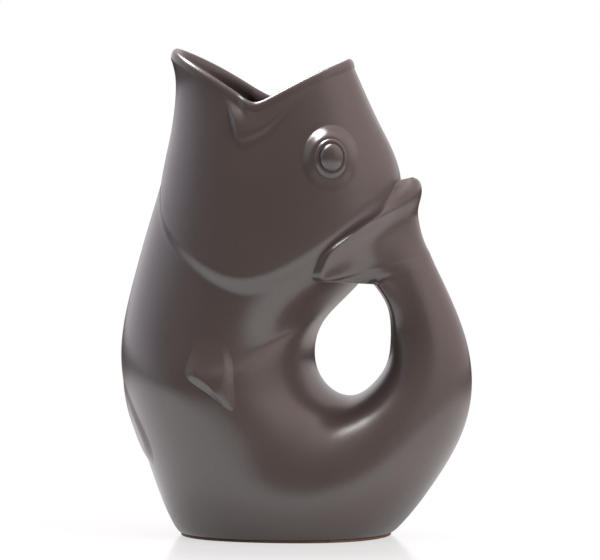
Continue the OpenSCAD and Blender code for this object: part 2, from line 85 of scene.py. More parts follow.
# Smooth curves through evenly spaced rows of values
def controls(p):
    c = p.copy()
    c[1:-1] = p[1:-1] - (p[:-2] - 2 * p[1:-1] + p[2:]) / 6
    return np.vstack([2 * c[0] - c[1], c, 2 * c[-1] - c[-2]])


def closed_controls(p):
    c = p - (np.roll(p, 1, 0) - 2 * p + np.roll(p, -1, 0)) / 6
    return np.vstack([c[-1], c, c[0], c[1]])


def curve(c, s):
    s = np.asarray(s, float)
    i = np.clip(np.floor(s).astype(int), 0, len(c) - 4)
    f = (s - i)[..., None]
    g = 1 - f
    return (g ** 3 * c[i] + (3 * f ** 3 - 6 * f ** 2 + 4) * c[i + 1]
            + (3 * g ** 3 - 6 * g ** 2 + 4) * c[i + 2] + f ** 3 * c[i + 3]) / 6


def mix(a, b, f):
    return a * (1 - f) + b * f


def ramp(x):
    x = np.clip(x, 0, 1)
    return x * x * (3 - 2 * x)


def after(x, span):
    """Ramp that starts at a span's first value and is as long as its second"""
    return ramp((x - span[0]) / span[1])


STATION_CURVE = controls(STATION_SHARES * STATION_SCALES)

# Reliefs of the gill cover's edge and of the fold, by station and angle from the belly line.
# The fold turns down sharply at the corner of the mouth and runs up along the upper lip.
GILL_STATION, GILL_LEAN, GILL_BAND = 4.03, 0.68, 0.44
GILL_CHIN, GILL_CHIN_SPREAD = 0.9, 26
FOLD_ANGLE, FOLD_STATION, FOLD_RISE, FOLD_SLOPE = 79, 1.42, 1.67, 0.0225
FOLD_TURN, FOLD_START, FOLD_END, FOLD_FRONT = (65, 14), (67, 12), (88, 42), (78, 8)
FOLD_SWELL, FOLD_BAND = (0.1, 0.9), 0.42


def gill_relief(s, t):
    angle = np.radians(t)
    chin = GILL_CHIN * np.exp(-(t / GILL_CHIN_SPREAD) ** 2)
    edge = GILL_STATION + GILL_LEAN * np.cos(angle) - chin
    return GILL_STEP * np.sin(angle) * (1 - ramp((s - edge) / GILL_BAND + 0.5))


def fold_relief(s, t):
    front = FOLD_STATION + FOLD_RISE * (after(t, FOLD_TURN) - 1)
    edge = np.where(t < FOLD_ANGLE, front, FOLD_STATION - FOLD_SLOPE * (t - FOLD_ANGLE))
    height = LIP_ROLL * after(t, FOLD_START) * (1 - after(t, FOLD_END))
    swell = mix(after(s, FOLD_SWELL), 1, after(t, FOLD_FRONT))
    return height * swell * (1 - ramp((s - edge) / FOLD_BAND + 0.5))


# Back line between nape and tail root in the side view, along which the neck is rounded
NECK_STATIONS, NECK_PIECES, NECK_END = (3.5, 12), 40, 13
NECK_ANGLES, BACK_ANGLE, HOLLOW_SHARE = (65, 55), 14, 0.4
NECK_LINE = curve(STATION_CURVE, np.linspace(*NECK_STATIONS, NECK_PIECES + 1))[:, 2:4]


def behind_distance(x, z):
    """Distance of a point of the side view from the neck's line"""
    p = np.stack([x, z], -1)[..., None, :]
    a, u = NECK_LINE[:-1], NECK_LINE[1:] - NECK_LINE[:-1]
    f = np.clip(((p - a) * u).sum(-1) / (u * u).sum(-1), 0, 1)[..., None]
    return np.sqrt(((p - a - f * u) ** 2).sum(-1).min(-1))


def section_bow(s, t, lift, away, behind, follow):
    """Half width of a section as a share of its greatest one; hollow ends stay rounder"""
    turn = np.minimum(np.where(s < NECK_END, away / NECK_ROUND, behind / TAIL_ROUND), 1)
    part = np.where((s >= NECK_END) & (lift < 0), HOLLOW_SHARE, 1)
    blend = part * follow * after(t, NECK_ANGLES) * ramp((180 - t) / BACK_ANGLE)
    return mix(np.sin(np.radians(t)), np.sqrt(turn * (2 - turn)), blend)


WAIST_ANGLES = (75, 60)
DIP_SPREAD, DIP_LIFT = 1.3, 0.3


def skin(s, t, lift=0.0):
    """Point on the fish's skin at station s and angle t, counted in degrees from the belly line
    round its left side; lift moves it out of the skin, or into the wall when it is negative"""
    s, t, lift = np.broadcast_arrays(*[np.asarray(v, float) for v in (s, t, lift)])
    row = curve(STATION_CURVE, s)
    belly_x, belly_z, back_x, back_z, width, corner, dip, soft, full, waist, follow = np.moveaxis(row, -1, 0)
    t = np.mod(t, 360)
    side = np.where(t > 180, 1, -1)
    t = np.where(t > 180, 360 - t, t)
    sin, cos = np.sin(np.radians(t)), np.cos(np.radians(t))
    reach = np.hypot(back_x - belly_x, back_z - belly_z)
    along_x, along_z = (back_x - belly_x) / reach, (back_z - belly_z) / reach
    share = 0.5 - 0.5 * cos + (corner - 0.5) * sin ** 2
    d = (share - corner) / np.where(share < corner, corner, 1 - corner)
    bend = (np.sqrt(d * d + soft * soft) - soft) / (np.sqrt(1 + soft * soft) - soft)
    drop = dip * (1 - DIP_SPREAD * bend + DIP_LIFT * d * d)
    normal_x, normal_y = -2 * cos / reach, sin / width
    size = np.hypot(normal_x, normal_y)
    out = lift + gill_relief(s, t) + fold_relief(s, t)
    p = share * reach + normal_x / size * out
    away = behind_distance(belly_x + along_x * share * reach, belly_z + along_z * share * reach - drop)
    bow = section_bow(s, t, lift, away, (1 - share) * reach, follow)
    girth = 1 + full * cos ** 2 - waist * after(t, WAIST_ANGLES)
    half = width * bow * girth + normal_y / size * out
    return np.stack([belly_x + along_x * p, side * half, belly_z + along_z * p - drop], -1)


NUDGE, LOCATE_STEPS = 0.01, 8


def locate(x, z, guess):
    """Station and angle of the skin point that shows at x and z in the side view"""
    s, t = [np.broadcast_to(np.asarray(g, float), np.shape(x)).copy() for g in guess]
    for _ in range(LOCATE_STEPS):
        p = skin(s, t)
        ds = (skin(s + NUDGE, t) - p) / NUDGE
        dt = (skin(s, t + NUDGE) - p) / NUDGE
        det = ds[..., 0] * dt[..., 2] - ds[..., 2] * dt[..., 0]
        ex, ez = x - p[..., 0], z - p[..., 2]
        s = s + (ex * dt[..., 2] - ez * dt[..., 0]) / det
        t = t + (ez * ds[..., 0] - ex * ds[..., 2]) / det
    return s, t


def opposite(p):
    return p * np.array([1, -1, 1])


# Meshes through loops of points
def placed(name, data):
    made = bpy.data.objects.new(name, data)
    bpy.context.scene.collection.objects.link(made)
    return made


def lid(first, n, turned):
    """Faces that close a loop of n points across the plane of symmetry"""
    faces = []
    for q in range(n // 2):
        corners = [first + q, first + q + 1, first + (n - q - 1) % n, first + (n - q) % n]
        corners = list(dict.fromkeys(corners))
        if len(corners) > 2:
            faces.append(corners[::-1] if turned else corners)
    return faces


def loft(name, loops, ring=False, sharp=()):
    """Mesh through closed loops that each have as many points. Its ends get lids, or its last
    loop joins its first one, and the edges of the loops listed as sharp are creased."""
    loops = np.asarray(loops, float)
    m, n = loops.shape[:2]
    verts = loops.reshape(-1, 3) - np.array([CENTRE, 0, 0])
    here = np.arange(n)
    ahead = (here + 1) % n
    faces = []
    for i in range(m if ring else m - 1):
        a, b = i * n, ((i + 1) % m) * n
        faces += np.stack([a + here, a + ahead, b + ahead, b + here], 1).tolist()
    if not ring:
        faces += lid(0, n, True) + lid((m - 1) * n, n, False)
    mesh = bpy.data.meshes.new(name)
    mesh.from_pydata((verts / METRE).tolist(), [], faces)
    mesh.validate()
    mesh.update()
    mesh.shade_smooth()
    ends = np.empty(len(mesh.edges) * 2, np.int32)
    mesh.edges.foreach_get("vertices", ends)
    row = ends.reshape(-1, 2) // n
    for i in sharp:
        for e in np.nonzero((row == i % m).all(1))[0]:
            mesh.edges[int(e)].use_edge_sharp = True
    return placed(name, mesh)


def volume(piece):
    """Measure that is negative for a mesh whose faces point inwards"""
    mesh = piece.data
    mesh.calc_loop_triangles()
    v = np.empty(len(mesh.vertices) * 3)
    mesh.vertices.foreach_get("co", v)
    k = np.empty(len(mesh.loop_triangles) * 3, np.int32)
    mesh.loop_triangles.foreach_get("vertices", k)
    p = v.reshape(-1, 3)[k.reshape(-1, 3)]
    return (p[:, 0] * np.cross(p[:, 1], p[:, 2])).sum()


def settle(piece, material, slot, *nodes):
    """Turns a piece's faces outwards and has it stand for its CAD nodes, in its material"""
    if volume(piece) < 0:
        piece.data.flip_normals()
    piece.data.materials.append(material)
    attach(piece, "root")
    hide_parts(*nodes)


# Node trees: an input, by its name or number, is linked to a value that is another node's
# socket, and is set to any other value
def cleared_tree(owner):
    owner.use_nodes = True
    owner.node_tree.nodes.clear()
    return owner.node_tree


def add(tree, kind, sockets, **settings):
    made = tree.nodes.new(kind)
    for key, value in settings.items():
        setattr(made, key, value)
    for key, value in sockets.items():
        if isinstance(value, bpy.types.NodeSocket):
            tree.links.new(value, made.inputs[key])
        else:
            made.inputs[key].default_value = value
    return made


def noise(tree, place, grain):
    """Noise of a scale per metre and a detail"""
    scale, detail = grain
    sockets = {"Vector": place, "Scale": scale, "Detail": detail}
    return add(tree, "ShaderNodeTexNoise", sockets).outputs["Fac"]


def graded(tree, value, span, result, course="LINEAR"):
    """Value that runs from one end of a result to the other while another crosses a span"""
    sockets = {
        "Value": value, "From Min": span[0], "From Max": span[1],
        "To Min": result[0], "To Max": result[1],
    }
    return add(tree, "ShaderNodeMapRange", sockets, interpolation_type=course).outputs["Result"]


def toned(tree, value, span, tones, course):
    """Colour that runs from one tone to another while a value crosses a span"""
    tone = add(tree, "ShaderNodeValToRGB", {"Fac": value})
    tone.color_ramp.interpolation = course
    for element, place, colour in zip(tone.color_ramp.elements, span, tones):
        element.position = place
        element.color = (*colour, 1)
    return tone.outputs["Color"]


def scaled(tree, colour, amount):
    sockets = {0: colour, "Scale": amount}
    return add(tree, "ShaderNodeVectorMath", sockets, operation="SCALE").outputs["Vector"]


def summed(tree, parts):
    total = parts[0]
    for part in parts[1:]:
        total = add(tree, "ShaderNodeVectorMath", {0: total, 1: part}, operation="ADD").outputs["Vector"]
    return total


def measured(tree, operation, sockets):
    """Number that a vector operation gives, such as a length"""
    return add(tree, "ShaderNodeVectorMath", sockets, operation=operation).outputs["Value"]


def reckoned(tree, operation, *values):
    """Number that a sum or another operation on numbers gives"""
    return add(tree, "ShaderNodeMath", dict(enumerate(values)), operation=operation).outputs["Value"]


def bumped(tree, height, strength, distance):
    sockets = {"Height": height, "Strength": strength, "Distance": distance}
    return add(tree, "ShaderNodeBump", sockets).outputs["Normal"]


def mixed(tree, share, first, second):
    sockets = {"Fac": share, 1: first, 2: second}
    return add(tree, "ShaderNodeMixShader", sockets).outputs["Shader"]


# Materials: a satin glaze, a little cloudy and finely speckled over a faint orange peel, and
# the rough bare clay of the foot
NOISE_SPAN = (0.3, 0.7)
CLOUDS, SPECKLE, PEEL, GRIT = (14, 3), (900, 2), (260, 2), (700, 5)
SPECKLE_SPAN, SPECKLE_SHADE = (0.35, 0.65), (0.96, 1.04)
GLAZE_TONES = ((0.066, 0.051, 0.047), (0.071, 0.055, 0.051))
GLAZE_ROUGHNESS, GLAZE_IOR = (0.28, 0.31), 1.65
PEEL_STRENGTH, PEEL_DEPTH = 0.25, 0.0001
CLAY_TONES = ((0.10, 0.055, 0.035), (0.19, 0.105, 0.065))
CLAY_ROUGHNESS = 0.85
GRIT_STRENGTH, GRIT_DEPTH = 0.5, 0.0002


def finished(name, tree_sockets):
    """Material whose surface takes the sockets that a function works out for its tree"""
    material = bpy.data.materials.new(name)
    tree = cleared_tree(material)
    place = add(tree, "ShaderNodeTexCoord", {}).outputs["Object"]
    surface = add(tree, "ShaderNodeBsdfPrincipled", tree_sockets(tree, place))
    add(tree, "ShaderNodeOutputMaterial", {"Surface": surface.outputs["BSDF"]})
    return material


def glaze_sockets(tree, place):
    clouds = noise(tree, place, CLOUDS)
    tone = toned(tree, clouds, NOISE_SPAN, GLAZE_TONES, "EASE")
    shade = graded(tree, noise(tree, place, SPECKLE), SPECKLE_SPAN, SPECKLE_SHADE, "SMOOTHSTEP")
    return {
        "Base Color": scaled(tree, tone, shade),
        "Roughness": graded(tree, clouds, NOISE_SPAN, GLAZE_ROUGHNESS, "SMOOTHSTEP"),
        "IOR": GLAZE_IOR,
        "Normal": bumped(tree, noise(tree, place, PEEL), PEEL_STRENGTH, PEEL_DEPTH),
    }


def clay_sockets(tree, place):
    grit = noise(tree, place, GRIT)
    return {
        "Base Color": toned(tree, grit, NOISE_SPAN, CLAY_TONES, "LINEAR"),
        "Roughness": CLAY_ROUGHNESS,
        "Normal": bumped(tree, grit, GRIT_STRENGTH, GRIT_DEPTH),
    }


glaze = finished("satin_glaze", glaze_sockets)
clay = finished("bare_clay", clay_sockets)

# Body and tail: rings round the fish, rounded off to a level floor where they would pass below
# it. Each skin is given by its lift, its floor's height and how softly it turns into the floor.
RING_POINTS = 240
RING_ANGLES = np.arange(RING_POINTS) * (360 / RING_POINTS)
OUTER_SKIN = (0, FOOT_HEIGHT, 1.6)
INNER_WALL = (-WALL, FOOT_HEIGHT + FLOOR_THICKNESS, 6)
RIM_ANGLES = np.arange(170, 5, -10)
# The rings lie closer together on the head and towards the tail than on the belly
HEAD_END, BELLY_END = 6, 10.5
FINE_STEP, BELLY_STEP, INNER_STEP = 0.05, 0.1, 0.2
TAIL_OUTER_RINGS, TAIL_INNER_RINGS = 61, 14


def rings(stations, lift, base, softness):
    p = skin(np.asarray(stations, float)[:, None], RING_ANGLES[None, :], lift)
    h = p[..., 2] - base
    p[..., 2] = base + (h + np.sqrt(h * h + softness * softness)) / 2
    return p


outer_stations = np.concatenate([
    np.arange(0, HEAD_END, FINE_STEP), np.arange(HEAD_END, BELLY_END, BELLY_STEP),
    np.arange(BELLY_END, TAIL_SEAM, FINE_STEP), [TAIL_SEAM]
])
inner_stations = np.concatenate([
    [TAIL_SEAM], np.arange(TAIL_SEAM - INNER_STEP, INNER_STEP / 2, -INNER_STEP), [0]
])
# Rim: rounded up from the inner wall over to the outer skin, as high as the wall is thick
rim = []
for angle in np.radians(RIM_ANGLES):
    over_rim = (WALL / 2 * (math.cos(angle) - 1), *OUTER_SKIN[1:])
    loop = rings([0], *over_rim)[0]
    loop[:, 2] += WALL * math.sin(angle)
    rim.append(loop)
body_rings = [rings(inner_stations, *INNER_WALL), rim, rings(outer_stations, *OUTER_SKIN)]
body = loft("body_glazed", np.concatenate(body_rings), ring=True, sharp=(0, -1))
settle(body, glaze, "glaze", "body")

hollow = rings(np.linspace(HOLLOW_END, TAIL_SEAM, TAIL_INNER_RINGS), *INNER_WALL)
outside = rings(np.linspace(TAIL_SEAM, FIN_SEAM, TAIL_OUTER_RINGS), *OUTER_SKIN)
seam_loops = (len(hollow) - 1, len(hollow), -1)
tail = loft("tail_glazed", np.concatenate([hollow, outside]), sharp=seam_loops)
settle(tail, glaze, "glaze", "tail_handle")

# Tail fin: closed sections from the top of the tail to the tip of the upper lobe. Each row
# gives shares of length and height for the fin's front edge on the neck, then for its back
# edge, the station of the nape, and shares of half the depth near the back and in the middle.
FIN_SHARES = np.array([
    [0.198, 0.525, 0.414, 0.571, 5.78, 0.205, 0.345],
    [0.150, 0.528, 0.412, 0.576, 5.75, 0.207, 0.352],
    [0.106, 0.534, 0.410, 0.581, 5.72, 0.210, 0.362],
    [0.114, 0.557, 0.397, 0.598, 5.42, 0.210, 0.362],
    [0.130, 0.585, 0.386, 0.620, 5.05, 0.205, 0.345],
    [0.158, 0.606, 0.379, 0.642, 4.78, 0.195, 0.320],
    [0.196, 0.628, 0.375, 0.661, 4.50, 0.190, 0.305],
    [0.242, 0.652, 0.377, 0.677, 4.20, 0.180, 0.290],
    [0.280, 0.671, 0.383, 0.693, 3.95, 0.165, 0.260],
    [0.299, 0.691, 0.386, 0.708, 3.72, 0.145, 0.225],
    [0.311, 0.708, 0.384, 0.722, 3.50, 0.115, 0.175],
    [0.318, 0.722, 0.376, 0.732, 3.36, 0.080, 0.115],
    [0.322, 0.730, 0.362, 0.737, 3.30, 0.045, 0.060],
])
FIN_SCALES = np.array([JUG_LENGTH, JUG_HEIGHT, JUG_LENGTH, JUG_HEIGHT, 1, HALF_DEPTH, HALF_DEPTH])
FIN_CURVE = controls(FIN_SHARES * FIN_SCALES)
FIN_GUESS = (3.8, 130.0)
# Steps along a section over its outer and its inner side, and sections of tail and of fin
OVER, UNDER = 160, 48
FIN_TUBES, FIN_LEVELS = 21, 120
# Places along a section, with heights above the neck in millimetres for those that follow it
FIN_ROUND, FIN_CORNER, FIN_VALLEY = (0.05, 3.4), (0.09, 4.2), (0.3, 2.6)
FIN_BETWEEN, FIN_MIDDLE, FIN_BACK = 0.45, 0.66, 0.93
# The fin's edge sinks this far into the neck, so that the glaze runs over the joint
FIN_SINK = 0.3
# How the edge starts lower at the root and fades towards the tip, by level
FIN_ROOT_SHARE, FIN_ROOT_LEVELS = 0.6, (0, 2)
FIN_TIP_FADE, FIN_TIP_LEVELS = 0.8, (6, 4)
# The valley behind the edge is filled up at both ends
ROOT_STRAIGHT, TIP_STRAIGHT = (0, 3), (4, 4)
# Angles on the tail that the fin's outer points come from, from its back edge to its front
WRAP_ANGLES = [0, 36, 96, 118, 124, 129, 134]
# The turn from tail to fin is evened out over rows next to each other
SOFT_ROWS, SOFT_MIDDLE, SOFT_REACH = (10, 50), 28, 19
SOFT_SPREAD, SOFT_LEAST, SOFT_WINDOW, SOFT_MARGIN = 8, 0.3, 20, 0.12


def fin_point(front, nape, f, lift):
    q = mix(front, nape, f)
    return skin(q[0], q[1], lift)


def fin_section(level):
    r = curve(FIN_CURVE, level)
    front = np.array(locate(r[0], r[1], FIN_GUESS))
    nape = np.array([r[4], 180.0])
    back, middle = np.array([r[2], 0, r[3]]), np.array([r[0], 0, r[1]])
    far = mix(middle, back, FIN_MIDDLE) - np.array([0, r[6], 0])
    last = mix(middle, back, FIN_BACK) - np.array([0, r[5], 0])
    fade = 1 - FIN_TIP_FADE * after(level, FIN_TIP_LEVELS)
    root = FIN_ROOT_SHARE + (1 - FIN_ROOT_SHARE) * after(level, FIN_ROOT_LEVELS)
    straight = np.maximum(1 - after(level, ROOT_STRAIGHT), after(level, TIP_STRAIGHT))
    corner = fin_point(front, nape, FIN_CORNER[0], FIN_CORNER[1] * fade * root)
    valley = fin_point(front, nape, *FIN_VALLEY)
    side = [
        fin_point(front, nape, 0.0, -FIN_SINK),
        fin_point(front, nape, FIN_ROUND[0], FIN_ROUND[1] * fade),
        corner,
        mix(valley, mix(corner, far, FIN_BETWEEN), straight),
        far,
        last,
    ]
    outer = controls(np.array([opposite(p) for p in side] + [back] + side[::-1]))
    over = curve(outer, np.linspace(0, 2 * len(side), OVER + 1))
    f = np.linspace(-1, 1, UNDER + 1)
    q = nape[None, :] + np.abs(f)[:, None] * (front - nape)[None, :]
    under = skin(q[:, 0], q[:, 1], -FIN_SINK)
    under[f > 0] = opposite(under[f > 0])
    return np.vstack([over, under[1:-1]])


def tail_section(s):
    """Section of the tail with its points shared out as in the fin's sections"""
    f = np.linspace(-1, 1, OVER + 1)
    turns = np.arange(len(WRAP_ANGLES))
    t = np.interp(turns[-1] * np.abs(f), turns, WRAP_ANGLES)
    over = skin(s, np.where(f < 0, 360 - t, t))
    under = np.linspace(WRAP_ANGLES[-1], 360 - WRAP_ANGLES[-1], UNDER + 1)[1:-1]
    return np.vstack([over, skin(s, under)])


def softened(rows):
    """The same rows with their outer side evened out, least at its two edges on the neck"""
    soft = rows.copy()
    inner = ramp((1 - np.abs(np.linspace(-1, 1, OVER + 1))) / SOFT_MARGIN)[:, None]
    for r in range(*SOFT_ROWS):
        spread = SOFT_SPREAD * ramp(1 - abs(r - SOFT_MIDDLE) / SOFT_REACH)
        k = np.arange(max(r - SOFT_WINDOW, 0), r + SOFT_WINDOW + 1)
        weight = np.exp(-((k - r) / (spread + SOFT_LEAST)) ** 2 / 2)
        even = (rows[k, :OVER + 1] * weight[:, None, None]).sum(0) / weight.sum()
        soft[r, :OVER + 1] = mix(rows[r, :OVER + 1], even, inner)
    return soft


tube = [tail_section(s) for s in np.linspace(FIN_SEAM, LAST_STATION, FIN_TUBES)]
blades = [fin_section(level) for level in np.linspace(0, len(FIN_SHARES) - 1, FIN_LEVELS)]
fin = loft("tail_fin_glazed", softened(np.array(tube + blades)), sharp=(0,))
settle(fin, glaze, "glaze", "tail_fin")


def settle_pairs(parts):
    """Left pieces through the loops listed by part, and their mirror images on the right"""
    for side, turn in (("left", np.array), ("right", opposite)):
        for part, loops in parts.items():
            piece = loft("%s_%s_glazed" % (part, side), turn(loops))
            settle(piece, glaze, "glaze", "%s_%s" % (part, side))


# Eyes: a soft mound, on it a step round the pupil's seat, and a domed pupil. They are a little
# narrower than high, and lean: they stand higher above the cheek at their top, and a little
# lower towards the mouth.
EYE_SHARE, EYE_GUESS = (0.154, 0.780), (2.1, 127.0)
MOUND_RADIUS, RING_RADIUS, PUPIL_RADIUS = 17.8, 9.3, 6.9
EYE_WIDTH = 0.86
EYE_TILT = (0.18, -0.04)
EYE_POINTS = 96
MOUND_LOOPS, MOUND_HEIGHT, MOUND_FOOT, MOUND_SINK = 41, 3.0, 0.8, 0.06
# Radius and height of each turn of the step and the seat
STEP_PROFILE = (
    (RING_RADIUS + 0.5, 3.2), (RING_RADIUS + 0.2, 3.5), (RING_RADIUS - 0.1, 3.9),
    (RING_RADIUS - 0.5, 4.2), (RING_RADIUS - 0.9, 4.35), (RING_RADIUS - 1.4, 4.4),
    (PUPIL_RADIUS + 0.6, 4.35), (PUPIL_RADIUS + 0.3, 4.2), (PUPIL_RADIUS - 1, 3.5), (0.5, 3.5)
)
DOME_STEPS, DOME_FOOT, DOME_BASE, DOME_HEIGHT = 24, 3.2, 4.0, 4.3
DOME_BULGE, DOME_TOP_RADIUS = 0.3, 0.1
UNDER_LOOPS, UNDER_START, UNDER_DEPTH = 8, 0.9, 1.0

eye = [float(v) for v in locate(EYE_SHARE[0] * JUG_LENGTH, EYE_SHARE[1] * JUG_HEIGHT, EYE_GUESS)]
eye_middle = skin(*eye)
slope_s = skin(eye[0] + NUDGE, eye[1]) - eye_middle
slope_t = skin(eye[0], eye[1] + NUDGE) - eye_middle
axis = np.cross(slope_s, slope_t)
eye_axis = axis * np.sign(-axis[1]) / np.linalg.norm(axis)
level = np.cross(eye_axis, [0, 0, 1])
eye_level = level / np.linalg.norm(level)
eye_up = np.cross(eye_level, eye_axis)
eye_angles = np.radians(np.arange(EYE_POINTS) * (360 / EYE_POINTS))


def eye_loop(radius, height):
    across = radius * EYE_WIDTH * np.cos(eye_angles)[:, None]
    up = radius * np.sin(eye_angles)[:, None]
    lift = height + EYE_TILT[0] * up + EYE_TILT[1] * across
    return eye_middle + across * eye_level + up * eye_up + lift * eye_axis


mound_rim = eye_loop(MOUND_RADIUS, 0.0)
rim_s, rim_t = locate(mound_rim[:, 0], mound_rim[:, 2], eye)
top_radius = RING_RADIUS + MOUND_FOOT
mound_loops = [
    skin(mix(rim_s, eye[0], f), mix(rim_t, eye[1], f), -UNDER_DEPTH)
    for f in np.linspace(UNDER_START, 0, UNDER_LOOPS)
]
for f in np.linspace(0, 1, MOUND_LOOPS):
    g = f * (1 - top_radius / MOUND_RADIUS)
    low = skin(mix(rim_s, eye[0], g), mix(rim_t, eye[1], g), -MOUND_SINK)
    high = eye_loop(mix(MOUND_RADIUS, top_radius, f), MOUND_HEIGHT)
    mound_loops.append(mix(low, high, ramp(f)))
mound_loops += [eye_loop(radius, height) for radius, height in STEP_PROFILE]

pupil_loops = [eye_loop(PUPIL_RADIUS, DOME_FOOT)]
for a in np.radians(np.linspace(0, 90, DOME_STEPS + 1))[:-1]:
    radius = (PUPIL_RADIUS + DOME_BULGE) * math.cos(a)
    pupil_loops.append(eye_loop(radius, DOME_BASE + DOME_HEIGHT * math.sin(a)))
pupil_loops.append(eye_loop(DOME_TOP_RADIUS, DOME_BASE + DOME_HEIGHT))
settle_pairs({"eye_mound": mound_loops, "pupil": pupil_loops})

# Side fins, with their outline in the side view as shares of length and height, and belly
# fins, with theirs as stations and angles from the belly line: reliefs that rise out of the skin
PECTORAL_SHARES = np.array([
    [-0.168, 0.472], [-0.128, 0.453], [-0.110, 0.402], [-0.099, 0.346], [-0.089, 0.295],
    [-0.092, 0.262], [-0.139, 0.287], [-0.196, 0.315], [-0.250, 0.346], [-0.228, 0.398],
    [-0.212, 0.461]])
PECTORAL_MIDDLE, PECTORAL_GUESS = (-0.160, 0.360), (7.5, 88.0)
PECTORAL_HEIGHT, PECTORAL_EDGE = 2.6, 0.5
# The side fin starts to rise this many stations after its first point, and is at its full
# height this many after its middle
PECTORAL_START, PECTORAL_FULL = 0.3, 0.8
PELVIC_SHARES = np.array([
    [8.0, 14], [8.25, 26], [9.0, 33], [9.8, 36], [10.25, 33], [10.4, 24], [10.15, 12],
    [9.6, 5], [8.8, 3.5], [8.2, 5.0]])
PELVIC_MIDDLE = (9.3, 20.0)
PELVIC_HEIGHT, PELVIC_EDGE = 1.5, 0.45
FIN_POINTS = 120
RELIEF_DEPTH, RELIEF_SINK = 1.2, 0.15
RELIEF_UNDER = np.linspace(0.1, 1, 10)
RELIEF_OVER = np.concatenate([np.linspace(1, 0.5, 26), np.linspace(0.46, 0.06, 11)])


def fin_outline(points):
    return curve(closed_controls(points), np.linspace(0, 1, FIN_POINTS, endpoint=False) * len(points))


def relief(rim, middle, height, root, full, edge):
    """Loops of a relief that rises from its root's station to a full height, with a soft edge"""
    loops = []
    for f in RELIEF_UNDER:
        q = mix(middle, rim, f)
        loops.append(skin(q[:, 0], q[:, 1], -RELIEF_DEPTH))
    for f in RELIEF_OVER:
        q = mix(middle, rim, f)
        place = ramp((q[:, 0] - root) / (full - root))
        rise = (height + RELIEF_SINK) * place * (1 - ramp((f - (1 - edge)) / edge)) - RELIEF_SINK
        loops.append(skin(q[:, 0], q[:, 1], rise))
    return loops


outline = fin_outline(PECTORAL_SHARES)
middle = np.array(locate(PECTORAL_MIDDLE[0] * JUG_LENGTH, PECTORAL_MIDDLE[1] * JUG_HEIGHT, PECTORAL_GUESS))
fin_rim = np.stack(locate(outline[:, 0] * JUG_LENGTH, outline[:, 1] * JUG_HEIGHT, middle), 1)
start, full = fin_rim[0, 0] + PECTORAL_START, middle[0] + PECTORAL_FULL
pectoral_loops = relief(fin_rim, middle, PECTORAL_HEIGHT, start, full, PECTORAL_EDGE)
middle = np.array(PELVIC_MIDDLE)
start, full = PELVIC_SHARES[0, 0], middle[0]
pelvic_loops = relief(fin_outline(PELVIC_SHARES), middle, PELVIC_HEIGHT, start, full, PELVIC_EDGE)
settle_pairs({"pectoral_fin": pectoral_loops, "pelvic_fin": pelvic_loops})

# Foot ring of bare clay, which follows the edge along which the belly meets it
FOOT_FRONT, FOOT_BACK = (11.0, 13.0), (14.0, 16.0)
FOOT_POINTS, HALVINGS = 61, 40
# Distance in from the belly's edge and height of each turn of the ring's section
FOOT_PROFILE = (
    (1.6, 1.5), (1.0, 1.3), (1.0, 0.3), (1.3, 0.0), (7.7, 0.0), (8.0, 0.3), (8.0, 1.3), (7.4, 1.5)
)


def base_angle(s):
    """Angle at which the skin comes down to the foot ring, at each station"""
    low, high = np.zeros_like(s), np.full_like(s, 90.0)
    for _ in range(HALVINGS):
        between = (low + high) / 2
        under = skin(s, between)[:, 2] < FOOT_HEIGHT
        low, high = np.where(under, between, low), np.where(under, high, between)
    return low


def crossing(low, high):
    """Station between two others at which the belly line passes the foot ring's height"""
    falling = skin(low, 0.0)[2] > FOOT_HEIGHT
    for _ in range(HALVINGS):
        between = (low + high) / 2
        if (skin(between, 0.0)[2] > FOOT_HEIGHT) == falling:
            low = between
        else:
            high = between
    return low


def inset(points, distance):
    """Outline moved in by a distance"""
    way = np.roll(points, -1, 0) - np.roll(points, 1, 0)
    normal = np.stack([way[:, 1], -way[:, 0]], 1) / np.linalg.norm(way, axis=1)[:, None]
    sign = np.sign(((points - points.mean(0)) * normal).sum(1).sum())
    return points - sign * normal * distance


along = 0.5 - 0.5 * np.cos(np.linspace(0, math.pi, FOOT_POINTS))
along = mix(crossing(*FOOT_FRONT), crossing(*FOOT_BACK), along)
half = skin(along, base_angle(along))
half[0, 1] = half[-1, 1] = 0
edge = np.vstack([half, opposite(half[-2:0:-1])])[:, :2]
foot_loops = []
for distance, height in FOOT_PROFILE:
    loop = inset(edge, distance)
    foot_loops.append(np.column_stack([loop, np.full(len(loop), height)]))
foot = loft("foot_ring_clay", np.array(foot_loops), ring=True)
settle(foot, clay, "bare_foot", "foot_ring")

# Floor: it is white to the camera, but for the shadow and the faint mirror image near the foot
FLOOR_CORNERS = [(-6, -6, 0), (6, -6, 0), (6, 8, 0), (-6, 8, 0)]
FLOOR_COLOUR, WHITE = (0.9, 0.9, 0.9, 1), (1, 1, 1, 1)
FLOOR_ROUGHNESS, FLOOR_GLOSS = 0.12, 0.60
FADE_SPAN, FADE_SHARE = (0.10, 0.25), (0.60, 1.0)
# What the glaze mirrors of the floor: soft pools of light on each side, darkened close to the foot by a
# painted shadow of the jug.
# Each row gives a pool's middle and its colour.
POOLS = [
    ((-0.45, -0.05, 0), (1.61, 1.64, 1.72)),
    ((0.45, -0.05, 0), (1.17, 1.22, 1.22)),
    ((0, -0.55, 0), (0.95, 1.11, 1.14)),
    ((0, 0.45, 0), (0.87, 0.77, 0.73)),
]
POOL_RADIUS = 0.75
# Distances over which the painted shadow round the foot fades out, and the share of the pools' light it
# leaves there
PAINTED_SHADOW_SPAN, PAINTED_SHADOW_SHARE = (0.04, 0.16), (0.45, 1.0)


